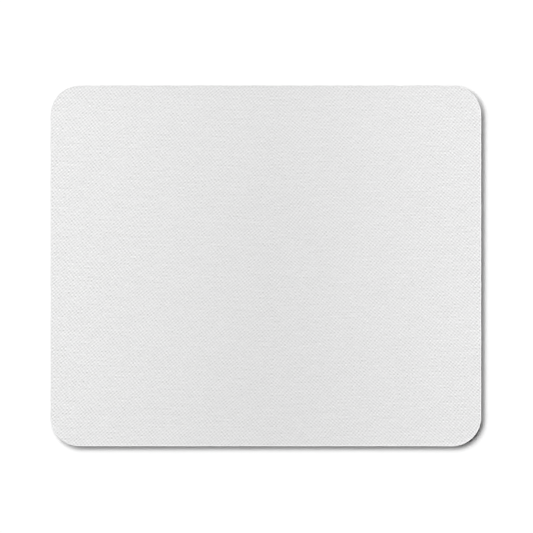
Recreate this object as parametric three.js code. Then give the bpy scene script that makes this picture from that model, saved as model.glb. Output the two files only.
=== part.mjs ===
// A cloth-topped mouse pad: woven cloth, bonding film and foam rubber, laminated flat and
// then cut out together by one die. Millimetres, +Z up, with the desk at Z = 0.
import * as THREE from "three";

// Outline of the cutting die
const padWidth = 234.95; // along X, the long side
const padDepth = 196.85; // along Y
const cornerRadius = 15.875;

// Layers, from the desk up
const baseThickness = 2.6;
const filmThickness = 0.1;
const clothThickness = 0.475;

// Edges that the blade leaves
const cutHollow = 0.2; // the soft rubber bulges under the blade, and springs back hollow by this much
const clothEdgeRoll = 0.15; // upper edge of the cloth, drawn down by the blade

// Facets of the round stretches
const cornerFacets = 12;
const wallFacets = 6;
const rollFacets = 3;

// Heights of the faces where two layers are bonded, and of the top
const filmBottom = baseThickness;
const clothBottom = filmBottom + filmThickness;
const padTop = clothBottom + clothThickness;

// The die's outline, drawn in by an inset, as points that run anticlockwise seen from above.
function outlinePoints(inset) {
  const x = padWidth / 2 - cornerRadius;
  const y = padDepth / 2 - cornerRadius;
  const radius = cornerRadius - inset;
  const quarter = Math.PI / 2;
  const outline = new THREE.Shape();
  outline.absarc(x, y, radius, 0, quarter);
  outline.absarc(-x, y, radius, quarter, 2 * quarter);
  outline.absarc(-x, -y, radius, 2 * quarter, 3 * quarter);
  outline.absarc(x, -y, radius, 3 * quarter, 4 * quarter);
  return outline.getPoints(cornerFacets);
}

// A hollow wall as rings {inset, z}: half a sine wave, flush with the die at both ends.
function hollowWall(bottom, top, depth) {
  const rings = [];
  for (let i = 0; i <= wallFacets; i++) {
    const rise = i / wallFacets;
    rings.push({
      inset: depth * Math.sin(Math.PI * rise),
      z: bottom + (top - bottom) * rise,
    });
  }
  return rings;
}

// A rolled upper edge as rings {inset, z}: a quarter circle from the wall to the face.
function rolledEdge(top, radius) {
  const rings = [];
  for (let i = 0; i <= rollFacets; i++) {
    const angle = ((Math.PI / 2) * i) / rollFacets;
    rings.push({
      inset: radius * (1 - Math.cos(angle)),
      z: top - radius * (1 - Math.sin(angle)),
    });
  }
  return rings;
}

// A closed solid lofted through rings of the outline, from its lower face to its upper one.
function cutLayer(rings) {
  const outlines = rings.map((ring) => outlinePoints(ring.inset));
  const count = outlines[0].length;
  const positions = [];
  rings.forEach((ring, k) => {
    for (const point of outlines[k]) positions.push(point.x, point.y, ring.z);
  });

  const triangles = [];
  for (let k = 0; k + 1 < rings.length; k++) {
    for (let i = 0; i < count; i++) {
      const next = (i + 1) % count;
      const low = k * count;
      const high = low + count;
      triangles.push(low + i, low + next, high + next);
      triangles.push(low + i, high + next, high + i);
    }
  }

  // The two faces, with the lower one turned to look down.
  const top = (rings.length - 1) * count;
  for (const [a, b, c] of THREE.ShapeUtils.triangulateShape(outlines[0], [])) {
    triangles.push(c, b, a);
    triangles.push(top + a, top + b, top + c);
  }

  const indexed = new THREE.BufferGeometry();
  indexed.setAttribute("position", new THREE.Float32BufferAttribute(positions, 3));
  indexed.setIndex(triangles);
  const faceted = indexed.toNonIndexed();
  faceted.computeVertexNormals();
  return faceted;
}

function layer(name, rings, material) {
  const mesh = new THREE.Mesh(cutLayer(rings), material);
  mesh.name = name;
  return mesh;
}

// Foam rubber, hollow round its cut edge.
const rubber = new THREE.MeshStandardMaterial({ color: 0x1c1c1d, roughness: 0.9, metalness: 0 });
const rubberBase = layer("rubber_base", hollowWall(0, filmBottom, cutHollow), rubber);

// Hot-melt film, cut flush.
const adhesive = new THREE.MeshStandardMaterial({ color: 0xcfcabd, roughness: 0.5, metalness: 0 });
const bondingFilm = layer(
  "bonding_film",
  [
    { inset: 0, z: filmBottom },
    { inset: 0, z: clothBottom },
  ],
  adhesive,
);

// White woven cloth, with its upper edge rolled down. The roll is at most half the cloth.
const cloth = new THREE.MeshStandardMaterial({ color: 0xe6e6e6, roughness: 0.85, metalness: 0 });
const upperRoll = Math.min(clothEdgeRoll, clothThickness / 2);
const clothTop = layer(
  "cloth_top",
  [{ inset: 0, z: clothBottom }, ...rolledEdge(padTop, upperRoll)],
  cloth,
);

const mousePad = new THREE.Group();
mousePad.add(rubberBase, bondingFilm, clothTop);

export default mousePad;
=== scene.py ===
import math

import bpy
import numpy as np
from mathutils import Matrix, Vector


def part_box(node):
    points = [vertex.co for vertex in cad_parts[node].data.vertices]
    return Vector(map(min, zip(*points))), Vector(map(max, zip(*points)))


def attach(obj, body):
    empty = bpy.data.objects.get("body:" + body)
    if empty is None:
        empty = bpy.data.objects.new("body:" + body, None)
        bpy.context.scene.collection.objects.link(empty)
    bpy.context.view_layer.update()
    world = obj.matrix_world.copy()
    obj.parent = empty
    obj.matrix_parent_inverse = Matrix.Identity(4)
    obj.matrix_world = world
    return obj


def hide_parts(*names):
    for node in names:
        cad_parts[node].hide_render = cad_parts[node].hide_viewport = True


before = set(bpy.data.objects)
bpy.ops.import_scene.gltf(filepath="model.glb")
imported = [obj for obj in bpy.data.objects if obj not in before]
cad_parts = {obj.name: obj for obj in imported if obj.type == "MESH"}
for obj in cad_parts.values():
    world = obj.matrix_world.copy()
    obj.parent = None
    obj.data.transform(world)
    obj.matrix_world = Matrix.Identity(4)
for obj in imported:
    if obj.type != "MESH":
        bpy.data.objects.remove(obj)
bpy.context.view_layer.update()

mm = 0.001
clothLow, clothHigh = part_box("cloth_top")
filmLow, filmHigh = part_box("bonding_film")
baseLow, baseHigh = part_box("rubber_base")

# The die that cuts the three layers together, in metres
die = {
    "halfX": clothHigh.x,
    "halfY": clothHigh.y,
    "corner": 15.875 * mm,
    # Extra columns at each end of a grid, where the corner arcs are steep: how far in from the edge
    "endColumns": [0.0, 0.03 * mm, 0.12 * mm, 0.27 * mm, 0.47 * mm],
    "endBand": 0.65 * mm,  # regular columns stop this far from the edge
    "merge": 0.35,  # of the spacing of rows: a point nearer to the outline than this is drawn onto it
}


def halfDepthAt(x, inset):
    # Half the outline's depth at x: halfY - R + sqrt(r^2 - p^2), where r is the corner radius R less the
    # inset, and p is how far x has gone past the straight part of the edge.
    radius = die["corner"] - inset
    past = np.clip(np.abs(x) - (die["halfX"] - die["corner"]), 0, radius)
    return die["halfY"] - die["corner"] + np.sqrt(radius**2 - past**2)


def outwardAt(x, y):
    # Unit normal of the outline: from the nearest point of the rectangle of corner centres to (x, y).
    straightX = die["halfX"] - die["corner"]
    straightY = die["halfY"] - die["corner"]
    away = np.stack([x - np.clip(x, -straightX, straightX), y - np.clip(y, -straightY, straightY)], 1)
    return away / np.linalg.norm(away, axis=1, keepdims=True)


def columnsWithEnds(regular, inset):
    # Regular columns, and at each end the few columns that follow the start of the corner arcs.
    edge = die["halfX"] - inset
    inner = regular[np.abs(regular) < edge - die["endBand"]]
    ends = edge - np.array(die["endColumns"])
    return np.concatenate([-ends, inner, ends[::-1]])


def trimmedFace(columns, rows, inset, shift=0.0):
    # A grid cut along the outline: y = clip(row + shift(x), -half(x), half(x)). Points beyond the outline
    # are drawn onto it, where they merge into the first or last point of their column. The rim runs
    # anticlockwise.
    half = halfDepthAt(columns, inset)[:, None]
    y = np.clip(rows[None, :] + np.c_[shift], -half, half)
    close = die["merge"] * np.diff(rows).min()
    y = np.where(half - np.abs(y) < close, np.copysign(half, y), y)
    first = (y == -half).sum(1) - 1
    last = rows.size - (y == half).sum(1)
    column = np.arange(columns.size)[:, None]
    corner = column * rows.size + np.clip(np.arange(rows.size)[None, :], first[:, None], last[:, None])
    a = corner[:-1, :-1].ravel()
    b = corner[1:, :-1].ravel()
    c = corner[1:, 1:].ravel()
    d = corner[:-1, 1:].ravel()
    quads = np.stack([a, b, c, d], 1)[(a != d) & (b != c)]
    narrowing = np.stack([a, b, d], 1)[(a != d) & (b == c)]
    widening = np.stack([a, b, c], 1)[(a == d) & (b != c)]
    triangles = np.concatenate([narrowing, widening])
    middle = np.arange(1, columns.size - 1)
    rim = np.concatenate([
        corner[-1, first[-1]:last[-1] + 1],
        corner[middle, last[middle]][::-1],
        corner[0, first[0]:last[0] + 1][::-1],
        corner[middle, first[middle]],
    ])
    numbers = np.concatenate([quads.ravel(), triangles.ravel(), rim])
    used, renumbered = np.unique(numbers, return_inverse=True)
    quads, triangles, rim = np.split(renumbered, [quads.size, quads.size + triangles.size])
    plan = np.stack([np.repeat(columns, rows.size), y.ravel()], 1)[used]
    return plan, quads.reshape(-1, 4), triangles.reshape(-1, 3), rim


# Where each part of a layer lies on its map: u, v of the lower left corner, and the width and height
mapPlaces = {
    "face": (0.01, 0.165, 0.98, 0.98 * die["halfY"] / die["halfX"]),
    "wall": (0.01, 0.1, 0.98, 0.05),
    "back": (0.01, 0.01, 0.09, 0.09 * die["halfY"] / die["halfX"]),
}


def onMap(place, across, up):
    # Shares 0..1 of a place on the map, as u and v.
    left, bottom, width, height = mapPlaces[place]
    return np.stack([left + width * across, bottom + height * up], -1)


def layerPiece(name, face, rings, facesUp, material, crease):
    # A closed layer: its detailed face, a wall through rings of points that start at the face's rim, and a
    # fan of triangles round the middle that closes the last ring. Edges sharper than the crease stay sharp.
    points, quads, triangles, rim = face
    count = rim.size
    middle = np.array([[0.0, 0.0, rings[-1][0, 2]]])
    vertices = np.concatenate([points] + rings + [middle])
    loops = [rim] + [len(points) + k * count + np.arange(count) for k in range(len(rings))]
    following = [np.roll(loop, -1) for loop in loops]
    around = (loops[1:], following[1:], following[:-1], loops[:-1])
    wall = np.stack([np.concatenate(part) for part in around], 1)
    back = np.stack([following[-1], loops[-1], np.full(count, len(vertices) - 1)], 1)

    # The map: plan shares for the face and the back, and the way round the rim for the wall
    planShare = (vertices[:, :2] / (die["halfX"], die["halfY"]) + 1) / 2
    run = np.linalg.norm(np.diff(points[rim], axis=0, append=points[rim[:1]]), axis=1)
    along = np.append(0, np.cumsum(run)) / run.sum()
    start = np.tile(along[:-1], len(rings))
    end = np.tile(along[1:], len(rings))
    low = np.repeat(np.arange(len(rings)) / len(rings), count)
    high = low + 1 / len(rings)
    wallMap = np.stack([
        onMap("wall", start, high),
        onMap("wall", end, high),
        onMap("wall", end, low),
        onMap("wall", start, low),
    ], 1)
    flatParts = [("face", quads), ("face", triangles), ("back", back)]
    maps = [onMap(place, *planShare[part].transpose(2, 0, 1)) for place, part in flatParts] + [wallMap]
    polygons = [quads, triangles, back, wall]
    if not facesUp:
        polygons = [part[:, ::-1] for part in polygons]
        maps = [part[:, ::-1] for part in maps]

    mesh = bpy.data.meshes.new(name)
    corners = np.concatenate([part.ravel() for part in polygons])
    sides = np.concatenate([np.full(len(part), part.shape[1]) for part in polygons])
    mesh.vertices.add(len(vertices))
    mesh.vertices.foreach_set("co", vertices.astype(np.float32).ravel())
    mesh.loops.add(corners.size)
    mesh.loops.foreach_set("vertex_index", corners.astype(np.int32))
    mesh.polygons.add(sides.size)
    mesh.polygons.foreach_set("loop_start", (np.cumsum(sides) - sides).astype(np.int32))
    mapped = np.concatenate([part.reshape(-1, 2) for part in maps])
    mesh.uv_layers.new(name="OFBake").uv.foreach_set("vector", mapped.astype(np.float32).ravel())
    mesh.update(calc_edges=True)
    mesh.validate()
    mesh.polygons.foreach_set("use_smooth", np.ones(len(mesh.polygons), bool))
    mesh.set_sharp_from_angle(angle=crease)
    mesh.materials.append(material)
    piece = bpy.data.objects.new(name, mesh)
    bpy.context.scene.collection.objects.link(piece)
    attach(piece, "root")
    print(name, len(vertices), "points", int((sides - 2).sum()), "triangles")
    return piece


class Wire:
    # A socket in a tree of nodes. Arithmetic on wires adds Math nodes, and make adds any other node.
    def __init__(self, tree, socket=None):
        self.tree = tree
        self.socket = socket

    def make(self, kind, settings, sockets, output=0):
        # Adds a node with its settings and the values or links of its sockets, and gives one output.
        node = self.tree.nodes.new("ShaderNode" + kind)
        for key, value in settings.items():
            setattr(node, key, value)
        for key, value in sockets.items():
            if isinstance(value, Wire):
                self.tree.links.new(value.socket, node.inputs[key])
            else:
                node.inputs[key].default_value = value
        return Wire(self.tree, node.outputs[output]) if len(node.outputs) else None

    def tap(self, output):
        # Another output of the same node.
        return Wire(self.tree, self.socket.node.outputs[output])

    def math(self, operation, *values):
        return self.make("Math", {"operation": operation}, dict(enumerate(values)))

    def __add__(self, other):
        return self.math("ADD", self, other)

    __radd__ = __add__

    def __sub__(self, other):
        return self.math("SUBTRACT", self, other)

    def __rsub__(self, other):
        return self.math("SUBTRACT", other, self)

    def __mul__(self, other):
        return self.math("MULTIPLY", self, other)

    __rmul__ = __mul__

    def __truediv__(self, other):
        return self.math("DIVIDE", self, other)

    def __abs__(self):
        return self.math("ABSOLUTE", self)

    def atLeast(self, other):
        return self.math("MAXIMUM", self, other)

    def atMost(self, other):
        return self.math("MINIMUM", self, other)

    def sign(self):
        return self.math("SIGN", self)

    def cosine(self):
        return self.math("COSINE", self)

    def rounded(self):
        return self.math("ROUND", self)

    def step(self, low, high):
        # Smooth step from 0 at low to 1 at high.
        sockets = {"Value": self, "From Min": low, "From Max": high}
        return self.make("MapRange", {"interpolation_type": "SMOOTHSTEP"}, sockets)

    def tint(self, dark, light):
        # Colour between two colours.
        return self.make("Mix", {"data_type": "RGBA"}, {0: self, 6: dark, 7: light}, 2)

    def noise(self, scale, detail, roughness):
        # Noise about 0, on a vector.
        sockets = {"Vector": self, "Scale": scale, "Detail": detail, "Roughness": roughness}
        return self.make("TexNoise", {}, sockets) - 0.5

    def hash(self):
        # A random value from 0 to 1 for each vector.
        return self.make("TexWhiteNoise", {}, {"Vector": self})


def grey(level):
    return (level, level, level, 1.0)


def emptyTree(holder):
    # Clears the nodes of a material or world, and gives the start of its new tree.
    holder.use_nodes = True
    holder.node_tree.nodes.clear()
    return Wire(holder.node_tree)


def newFinish(name):
    # A material, the start of its tree, and the place on the piece in millimetres.
    material = bpy.data.materials.new(name)
    start = emptyTree(material)
    place = start.make("TexCoord", {}, {}, "Object")
    place = start.make("VectorMath", {"operation": "SCALE"}, {0: place, "Scale": 1 / mm})
    return material, start, place


def surface(start, sockets):
    shader = start.make("BsdfPrincipled", {}, sockets)
    start.make("OutputMaterial", {}, {"Surface": shader})


def combine(start, x, y, z):
    return start.make("CombineXYZ", {}, {0: x, 1: y, 2: z})


def grain(x, y, size, layer, detail=0.0):
    # Noise about 0 in cells of this size along x and y. Each layer, a whole number, is a noise of its own.
    return combine(x, x / size[0], y / size[1], layer).noise(1.0, detail, 1.0)


def bumped(height, piece):
    # A normal from a height, with the strength and depth that the piece's dictionary gives.
    sockets = {"Strength": piece["bumpStrength"], "Distance": piece["bumpDepth"], "Height": height}
    return height.make("Bump", {}, sockets)


# White plain-woven cloth. Its yarns lean a little, one way on each side of a line near the middle. The hot
# blade that cut it has melted its edge into a smooth rim, a little higher than the weave.
cloth = {
    "turnX": 3.15,  # mm, the line where the lean turns over
    "warpPitch": 1.008,  # mm
    "weftPitch": 0.9837,  # mm
    "lean": 0.1952,  # of the warp, mm along x for each mm along y
    "bend": 6.8e-5,  # of the warp, per mm
    "climb": 0.027,  # of the weft, mm along y for each mm along x
    "columns": 444,  # of the mesh, nearly two for each warp yarn
    "relief": 0.03 * mm,  # half of what a raised crossing stands above a sunk one
    "unevenness": 0.25,  # share of the relief that changes from point to point
    "seed": 11,
    "rimWidth": 0.6 * mm,
    "rimRise": 0.07 * mm,
    "rimRings": 3,
    "edgeRoll": 0.05 * mm,
    "rollRings": 3,
    "cutRagged": 0.012 * mm,
    "crease": math.radians(50),
    "shadeColour": grey(0.55),
    "lightColour": grey(1.0),
    "mean": 0.517,  # place of the mean colour between those two
    "riseShadeTone": 0.107,  # painted shade of the weave: the two diagonal waves that make up the crossings, lighter on the raised ones and darker on the sunk ones
    "fallShadeTone": 0.088,
    "sideContrast": 0.4,  # how much stronger the weave's tone is at the two sides than in the middle
    "gapShadeTone": 0.3,  # painted shade: how much darker the gaps are than the crowns are light
    "beadTone": 0.12,  # light beside dark along the warp
    "beadEdge": 0.4,  # what is left of a bead at the edges of its crossing
    "halfTone": 0.1,  # the two edges of a weft yarn
    "halfSeed": 5,  # keeps their random values apart from the beads'
    "driftTone": 0.13,  # stretches where one diagonal stands out
    "pickTone": 0.36,  # thick and thin stretches of the weft
    "endTone": 0.1,  # and of the warp
    "fibreTone": 0.2,
    "pickGrain": (12.5, 3.3),  # mm along x and y
    "endGrain": (2.0, 5.0),
    "fibreGrain": (0.6, 0.5),
    "broadTone": 0.03,
    "broadNoise": (0.06, 3.0, 0.5),  # scale per mm, detail and roughness
    # lighter rim: partly the melted edge's own colour, partly a painted highlight along the cut
    "rimMeltAndHighlight": 0.12,
    "rimCover": 0.8,  # share of the weave's tone that the rim hides
    "rimFade": (0.5, 1.2),  # rim widths from the cut, between which the weave comes out of the rim
    "fuzzNoise": (9.0, 3.0, 0.7),
    "crossingHeight": 0.3,  # shares of the bump's depth
    "pitHeight": 0.7,
    "fuzzHeight": 0.5,
    "bumpStrength": 0.35,
    "bumpDepth": 0.04 * mm,
    "roughness": 0.86,
    "fuzzRoughness": 0.16,
    "specular": 0.25,
    "sheen": 0.08,
    "sheenRoughness": 0.5,
}


def yarnCount(x, y):
    # Warp and weft yarns counted from the line where the lean turns over, with a the distance from it:
    # U = (a + lean y + bend y^2) / warp pitch, and V = (y - climb a) / weft pitch.
    away = abs(x - cloth["turnX"])
    warp = (away + cloth["lean"] * y + cloth["bend"] * y * y) / cloth["warpPitch"]
    return warp, (y - cloth["climb"] * away) / cloth["weftPitch"]


def clothFinish():
    material, start, place = newFinish("white_plain_weave")
    x = start.make("SeparateXYZ", {}, {0: place}, "X")
    y = x.tap("Y")
    u, v = yarnCount(x, y)
    rise = ((u + v) * math.pi).cosine()
    fall = ((u - v) * math.pi).cosine()
    pit = (1 - (u * math.tau).cosine()) * (1 - (v * math.tau).cosine()) / 4  # 1 in the middle of a gap
    warp = (u * math.pi).cosine()
    weft = (v * math.pi).cosine()
    crown = abs(warp * weft) * (1 - cloth["beadEdge"]) + cloth["beadEdge"]  # 1 in the middle of a crossing

    # Uneven yarns: from crossing to crossing, in each half of one, and over longer stretches
    side = (x - cloth["turnX"]).sign()
    own, before, after = [combine(start, u.rounded(), v.rounded() + k, side).hash() for k in (0, -1, 1)]
    bead = (own - (before + after) / 2) * crown
    half = combine(start, u.rounded(), (v * 2).rounded(), side + cloth["halfSeed"]).hash() - 0.5
    drift = grain(x, y, cloth["pickGrain"], layer=1.0) * (fall - rise)
    pick = grain(x, y, cloth["pickGrain"], layer=2.0, detail=1.0) * weft
    end = grain(x, y, cloth["endGrain"], layer=3.0) * warp
    fibre = grain(x, y, cloth["fibreGrain"], layer=4.0)
    broad = place.noise(*cloth["broadNoise"])
    fuzz = place.noise(*cloth["fuzzNoise"])
    # The weave's tone grows stronger towards the two sides
    outward = (x - cloth["turnX"]) / (die["halfX"] / mm)
    sideGain = 1 + outward * outward * cloth["sideContrast"]

    # How far inside the cut, in rim widths: the distance to a rounded rectangle from its corners' centres
    pastX = abs(x) - (die["halfX"] - die["corner"]) / mm
    pastY = abs(y) - (die["halfY"] - die["corner"]) / mm
    corner = combine(start, pastX.atLeast(0.0), pastY.atLeast(0.0), 0.0)
    reach = start.make("VectorMath", {"operation": "LENGTH"}, {0: corner}, "Value")
    straight = pastX.atLeast(pastY).atMost(0.0)
    inside = (die["corner"] / mm - reach - straight) / (cloth["rimWidth"] / mm)
    rim = 1 - inside.step(*cloth["rimFade"])

    # Tone of the weave: painted shade of its raised and sunk crossings and its gaps, with the random
    # unevenness of its yarns
    weave = rise * cloth["riseShadeTone"] + fall * cloth["fallShadeTone"] + drift * cloth["driftTone"]
    weave = weave + bead * cloth["beadTone"] + half * cloth["halfTone"] + fibre * cloth["fibreTone"]
    weave = (weave + pick * cloth["pickTone"] + end * cloth["endTone"]) * sideGain
    weave = weave - weave * weave * cloth["gapShadeTone"]
    # The rim hides most of the weave's tone and is lighter: partly the melted edge's own colour, partly a
    # painted highlight along the cut
    tone = weave * (1 - rim * cloth["rimCover"]) + rim * cloth["rimMeltAndHighlight"]
    tone = tone + broad * cloth["broadTone"] + cloth["mean"]
    height = (rise + fall) * cloth["crossingHeight"] - pit * cloth["pitHeight"]
    height = height * (1 - rim) + fuzz * cloth["fuzzHeight"]
    surface(start, {
        "Base Color": tone.tint(cloth["shadeColour"], cloth["lightColour"]),
        "Roughness": cloth["roughness"] + fuzz * cloth["fuzzRoughness"],
        "Normal": bumped(height, cloth),
        "Specular IOR Level": cloth["specular"],
        "Sheen Weight": cloth["sheen"],
        "Sheen Roughness": cloth["sheenRoughness"],
    })
    return material


def wovenCloth():
    # Face z = top - rise - relief (1 - w), with w the weave cos(pi U) cos(pi V) between -1 and 1, and a row
    # of points along each weft. Round it the rim climbs to the top, and rolls over a quarter circle to the
    # wall.
    random = np.random.default_rng(cloth["seed"])
    width = cloth["rimWidth"]
    roll = cloth["edgeRoll"]
    columns = columnsWithEnds(np.linspace(-die["halfX"], die["halfX"], cloth["columns"] + 1), width)
    weftShift = cloth["climb"] * np.abs(columns - cloth["turnX"] * mm)
    reach = math.ceil((die["halfY"] + weftShift.max()) / (cloth["weftPitch"] * mm)) + 1
    wefts = np.arange(-reach, reach + 1) * cloth["weftPitch"] * mm
    plan, quads, triangles, rim = trimmedFace(columns, wefts, width, weftShift)
    u, v = yarnCount(plan[:, 0] / mm, plan[:, 1] / mm)
    weave = np.cos(np.pi * u) * np.cos(np.pi * v) * (1 - cloth["unevenness"] * random.random(len(plan)))
    points = np.column_stack([plan, clothHigh.z - cloth["rimRise"] - cloth["relief"] * (1 - weave)])

    # Rings round the weave: how far each goes out and up from the rim of the face
    edge = points[rim]
    normal = np.column_stack([outwardAt(*plan[rim].T), np.zeros(rim.size)])
    ragged = cloth["cutRagged"] * random.random(rim.size)
    sink = clothHigh.z - edge[:, 2]
    shares = np.linspace(0, 1, cloth["rimRings"] + 1)[1:]
    outs = [(width - roll) * share for share in shares]
    climbs = [sink * share for share in shares]
    turns = np.linspace(0, np.pi / 2, cloth["rollRings"] + 1)[1:]
    outs += [width - roll + (roll - ragged) * np.sin(turn) for turn in turns]
    climbs += [sink - roll * (1 - np.cos(turn)) for turn in turns]
    outs.append(width - ragged)
    climbs.append(clothLow.z - edge[:, 2])
    upward = np.array([0.0, 0.0, 1.0])
    rings = [edge + normal * np.c_[out] + upward * np.c_[climb] for out, climb in zip(outs, climbs)]
    face = (points, quads, triangles, rim)
    return layerPiece("woven_cloth", face, rings, True, clothFinish(), cloth["crease"])


clothPiece = wovenCloth()
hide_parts("cloth_top")
cutSize = (2 * die["halfX"], 2 * die["halfY"])
cutArea = cutSize[0] * cutSize[1] - (4 - math.pi) * die["corner"]**2


# Hot-melt film between cloth and rubber, of which only the edge shows
film = {
    "rows": 80,
    "middleColumns": 48,
    "cornerColumns": 16,
    "recess": 0.05 * mm,
    "waviness": 0.03 * mm,
    "smoothing": 9,  # points of the edge that its wandering is summed over
    "bulge": 0.015 * mm,
    "seed": 12,
    "crease": math.radians(50),
    "thinColour": (0.42, 0.40, 0.35, 1.0),
    "thickColour": (0.66, 0.63, 0.55, 1.0),
    "mean": 0.5,  # place of the mean colour between those two
    "cloudTone": 1.6,
    "cloudNoise": (0.35, 4.0, 0.6),  # scale per mm, detail and roughness
    "roughness": 0.5,
    "cloudRoughness": 0.3,
    "bumpStrength": 0.3,
    "bumpDepth": 0.02 * mm,
}


def filmFinish():
    material, start, place = newFinish("hot_melt_film")
    cloud = place.noise(*film["cloudNoise"])
    tone = cloud * film["cloudTone"] + film["mean"]
    surface(start, {
        "Base Color": tone.tint(film["thinColour"], film["thickColour"]),
        "Roughness": film["roughness"] + cloud * film["cloudRoughness"],
        "Normal": bumped(cloud, film),
    })
    return material


def bondingFilm():
    # A flat sheet, and round it a narrow border. The border's edge wanders a little inside the die's
    # outline, by sums of normal draws over n points divided by sqrt(n), and bulges half way down.
    random = np.random.default_rng(film["seed"])
    border = 2 * film["waviness"]
    inset = film["recess"] + border
    straight = die["halfX"] - die["corner"]
    turns = np.linspace(0, np.pi / 2, film["cornerColumns"] + 1)
    bend = straight + (die["corner"] - inset) * np.sin(turns)
    middleColumns = np.linspace(-straight, straight, film["middleColumns"] + 1)[1:-1]
    columns = np.concatenate([-bend[::-1], middleColumns, bend])
    rows = np.linspace(-die["halfY"], die["halfY"], film["rows"] + 1)
    plan, quads, triangles, rim = trimmedFace(columns, rows, inset)
    normal = outwardAt(*plan[rim].T)
    window = np.ones(film["smoothing"]) / math.sqrt(film["smoothing"])
    wander = np.convolve(random.normal(size=rim.size + window.size - 1), window, "valid")
    edge = border - np.clip(wander, -1, 1) * film["waviness"]
    outs = [edge, edge + film["bulge"], edge]
    rings = []
    for out, z in zip(outs, np.linspace(filmHigh.z, filmLow.z, len(outs))):
        rings.append(np.column_stack([plan[rim] + normal * np.c_[out], np.full(rim.size, z)]))
    face = (np.column_stack([plan, np.full(len(plan), filmHigh.z)]), quads, triangles, rim)
    return layerPiece("glue_film", face, rings, True, filmFinish(), film["crease"])


filmPiece = bondingFilm()
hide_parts("bonding_film")


# Black foam rubber: a moulded underside of square studs, and a cut wall that is a little hollow
rubber = {
    "studPitch": 3.0 * mm,
    "studWidth": 2.0 * mm,
    "flank": 0.2 * mm,
    "grooveDepth": 0.3 * mm,
    "hollow": 0.2 * mm,
    "wallRings": 8,
    "cellDent": 0.02 * mm,
    "seed": 13,
    "crease": math.radians(35),
    "darkColour": grey(0.006),
    "paleColour": grey(0.04),
    "mean": 0.28,  # place of the mean colour between those two
    "cellsPerMm": 3.2,
    # painted shade in the open cells of the cut wall
    "poreShadeTone": 0.3,
    "poreFade": (0.1, 0.5),  # cells from the middle of a pore, between which it ends
    "mottleTone": 0.5,
    "mottleNoise": (0.5, 4.0, 0.6),  # scale per mm, detail and roughness
    "speckTone": 0.3,
    "speckNoise": (7.0, 2.0, 0.5),
    "bloomTone": 0.15,
    "bloomNoise": (0.08, 5.0, 0.65),
    "bloomFade": (0.02, 0.3),
    # stud tops lighter than the grooves: painted shade in the grooves
    "grooveShadeTone": 0.3,
    "studTopFade": (0.03, 0.2),  # mm above the desk: the tops of the studs
    "skinFade": (0.3, 0.45),  # mm above the desk, where the moulded skin gives way to the cut
    "speckHeight": 0.3,  # of the depth of a pore
    "bumpStrength": 0.5,
    "bumpDepth": 0.06 * mm,
    "roughness": 0.9,
    "skinGloss": 0.22,  # how much less rough the moulded skin is
    "mottleRoughness": 0.15,
    "specular": 0.35,
}


def rubberFinish():
    material, start, place = newFinish("black_foam_rubber")
    z = start.make("SeparateXYZ", {}, {0: place}, "Z")
    cells = start.make("TexVoronoi", {}, {"Vector": place, "Scale": rubber["cellsPerMm"]}, "Distance")
    mottle = place.noise(*rubber["mottleNoise"])
    specks = place.noise(*rubber["speckNoise"])
    skin = 1 - z.step(*rubber["skinFade"])
    # 1 on the stud tops, which are made lighter than the grooves: painted shade in the grooves
    studTops = 1 - z.step(*rubber["studTopFade"])
    bloom = place.noise(*rubber["bloomNoise"]).step(*rubber["bloomFade"])
    # 1 in the pores of the cut wall, which are made darker: painted shade in the open cells
    pore = (1 - cells.step(*rubber["poreFade"])) * (1 - skin)
    tone = rubber["mean"] + mottle * rubber["mottleTone"] + studTops * rubber["grooveShadeTone"]
    tone = tone + bloom * rubber["bloomTone"] - pore * rubber["poreShadeTone"] + specks * rubber["speckTone"]
    roughness = rubber["roughness"] - skin * rubber["skinGloss"] + mottle * rubber["mottleRoughness"]
    surface(start, {
        "Base Color": tone.tint(rubber["darkColour"], rubber["paleColour"]),
        "Roughness": roughness,
        "Normal": bumped(specks * rubber["speckHeight"] - pore, rubber),
        "Specular IOR Level": rubber["specular"],
    })
    return material


def studLines(reach):
    # The lines that edge the studs: for each stud its two sides and the two sides of the next groove.
    number = math.ceil(reach / rubber["studPitch"]) + 1
    centres = rubber["studPitch"] * np.arange(-number, number + 1)
    side = rubber["studWidth"] / 2
    edges = np.array([-side, side, side + rubber["flank"], rubber["studPitch"] - side - rubber["flank"]])
    return (centres[:, None] + edges).ravel()


def studAt(a):
    # 1 on a stud and 0 in a groove, along one direction, with a straight flank between.
    pitch = rubber["studPitch"]
    fromCentre = np.abs(a - pitch * np.round(a / pitch))
    return np.clip((rubber["studWidth"] / 2 + rubber["flank"] - fromCentre) / rubber["flank"], 0, 1)


def foamBase():
    # Underside z = depth (1 - s(x) s(y)), with s the stud profile. The wall's inset is hollow sin(pi t) and
    # a dent for each cut cell, with t from 0 at the underside to 1 under the film.
    random = np.random.default_rng(rubber["seed"])
    columns = columnsWithEnds(studLines(die["halfX"]), 0.0)
    plan, quads, triangles, rim = trimmedFace(columns, studLines(die["halfY"]), 0.0)
    lift = rubber["grooveDepth"] * (1 - studAt(plan[:, 0]) * studAt(plan[:, 1]))
    points = np.column_stack([plan, baseLow.z + lift])
    normal = outwardAt(*plan[rim].T)
    rings = []
    for t in np.linspace(0, 1, rubber["wallRings"] + 1)[1:]:
        dent = rubber["cellDent"] * random.normal(size=rim.size) * np.sin(np.pi * t)
        out = np.minimum(dent - rubber["hollow"] * np.sin(np.pi * t), 0)
        z = points[rim, 2] * (1 - t) + baseHigh.z * t
        rings.append(np.column_stack([plan[rim] + normal * np.c_[out], z]))
    face = (points, quads, triangles, rim)
    return layerPiece("foam_base", face, rings, False, rubberFinish(), rubber["crease"])


basePiece = foamBase()
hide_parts("rubber_base")

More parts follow.
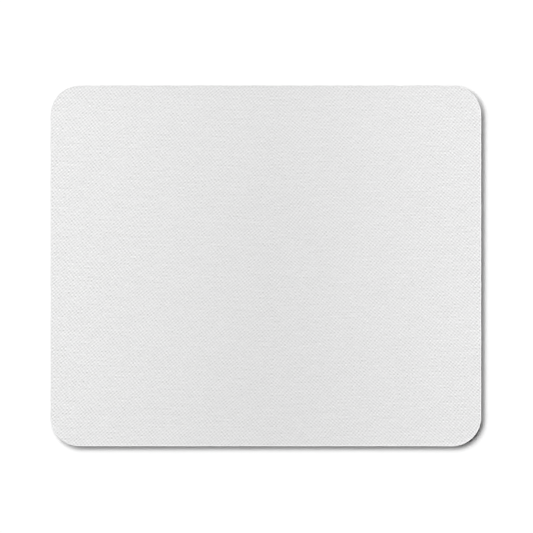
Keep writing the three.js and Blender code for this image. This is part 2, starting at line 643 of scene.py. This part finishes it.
# Stage: a pale floor, an arc of soft suns round the upper left, and lamps for the pad alone: two spots that
# cross over it and a low strip beyond its far side. Lengths in metres, angles in radians
stage = {
    "floorHalf": 3.0,
    "floorGap": 0.05 * mm,
    "floorColour": 0.85,
    "floorSeen": 1.12,  # the floor's colour as the camera sees it, so that it goes white around the shadow
    "sky": 0.01,  # light from all round
    "sunShares": (0.2, 0.257, 0.257, 0.2),  # of the light that falls on the floor
    "sunAngle": 0.5,
    "arcMiddle": (-0.44, 0.39),  # of the suns' leans: how far they go along x and y for each unit up
    "arcReach": 0.57,
    "arcHalf": 1.85,  # how far the arc turns on each side of the upper left
    "middleX": cloth["turnX"] * mm,  # the spots and the strip stand evenly about this line
    "spotOut": 0.45,
    "spotHeight": 0.5,
    "spotCross": 2.9,  # how far past the middle they aim
    "spotAngle": 1.41,
    "spotRadius": 0.004,
    "spotWatts": 14.6,
    "stripBack": 0.12,
    "stripHeight": 0.063,
    "stripSize": (0.5, 0.01),
    "stripWatts": 0.0146,
}


def seenDirectly(start):
    # 1 for what the camera sees itself, in a reflection or through something clear.
    itself = start.make("LightPath", {}, {}, "Is Camera Ray")
    return itself.atLeast(itself.tap("Is Glossy Ray")).atLeast(itself.tap("Is Transmission Ray"))


def paleFloor():
    material = bpy.data.materials.new("pale_floor")
    start = emptyTree(material)
    colour = seenDirectly(start).tint(grey(stage["floorColour"]), grey(stage["floorSeen"]))
    start.make("OutputMaterial", {}, {"Surface": start.make("BsdfDiffuse", {}, {"Color": colour})})
    half = stage["floorHalf"]
    mesh = bpy.data.meshes.new("pale_floor")
    corners = [(-half, -half), (half, -half), (half, half), (-half, half)]
    mesh.from_pydata([(x, y, -stage["floorGap"]) for x, y in corners], [], [(0, 1, 2, 3)])
    mesh.materials.append(material)
    floor = bpy.data.objects.new("pale_floor", mesh)
    bpy.context.scene.collection.objects.link(floor)


def paleWorld():
    world = bpy.data.worlds.new("pale_world")
    start = emptyTree(world)
    colour = seenDirectly(start).tint(grey(stage["sky"]), grey(1.0))
    start.make("OutputWorld", {}, {"Surface": start.make("Background", {}, {"Color": colour})})
    bpy.context.scene.world = world


def addLamp(name, kind, at, settings, target, lit=None):
    # A lamp that looks at the target, and lights all or only what is in a collection.
    lamp = bpy.data.lights.new(name, kind)
    for key, value in settings.items():
        setattr(lamp, key, value)
    holder = bpy.data.objects.new(name, lamp)
    holder.location = at
    look = Vector(target) - Vector(at)
    holder.rotation_euler = look.to_track_quat("-Z", "Y").to_euler()
    holder.visible_camera = False
    holder.light_linking.receiver_collection = lit
    bpy.context.scene.collection.objects.link(holder)


def addLamps():
    # A sun of strength pi straight above lights the floor fully, and a slanting one less, by its cosine.
    upperLeft = 0.75 * math.pi
    shares = stage["sunShares"]
    turns = np.linspace(upperLeft - stage["arcHalf"], upperLeft + stage["arcHalf"], len(shares))
    for number, (turn, share) in enumerate(zip(turns, shares), 1):
        leanX = stage["arcMiddle"][0] + stage["arcReach"] * math.cos(turn)
        leanY = stage["arcMiddle"][1] + stage["arcReach"] * math.sin(turn)
        sun = {"energy": share * math.pi * math.hypot(1.0, leanX, leanY), "angle": stage["sunAngle"]}
        addLamp(f"soft_sun_{number}", "SUN", (leanX, leanY, 1.0), sun, (0.0, 0.0, 0.0))
    padLayers = bpy.data.collections.new("pad_layers")
    for piece in (clothPiece, filmPiece, basePiece):
        padLayers.objects.link(piece)
    middle = stage["middleX"]
    spot = {
        "energy": stage["spotWatts"],
        "spot_size": stage["spotAngle"],
        "spot_blend": 1.0,
        "shadow_soft_size": stage["spotRadius"],
    }
    for name, side in (("right_spot", 1), ("left_spot", -1)):
        at = (middle + side * stage["spotOut"], 0.0, stage["spotHeight"])
        addLamp(name, "SPOT", at, spot, (middle - side * stage["spotCross"], 0.0, 0.0), padLayers)
    strip = {
        "shape": "RECTANGLE",
        "size": stage["stripSize"][0],
        "size_y": stage["stripSize"][1],
        "energy": stage["stripWatts"],
    }
    at = (middle, stage["stripBack"], stage["stripHeight"])
    addLamp("far_strip", "AREA", at, strip, (middle, 0.0, 0.0), padLayers)


paleFloor()
paleWorld()
addLamps()
print("stage ready")

# Camera straight above, far off with a long lens
camera = {
    "lens": 400.0,  # mm
    "sensor": 36.0,  # mm
    "across": 290.84 * mm,  # width that the picture spans at the cloth's height
    "offset": (0.29 * mm, -0.33 * mm),
}


def addCamera():
    data = bpy.data.cameras.new("camera")
    data.lens = camera["lens"]
    data.sensor_width = camera["sensor"]
    height = camera["across"] * camera["lens"] / camera["sensor"]
    holder = bpy.data.objects.new("camera", data)
    holder.location = (*camera["offset"], clothHigh.z + height)
    bpy.context.scene.collection.objects.link(holder)
    bpy.context.scene.camera = holder


addCamera()
bpy.context.scene.view_settings.view_transform = "Standard"
print("camera ready")
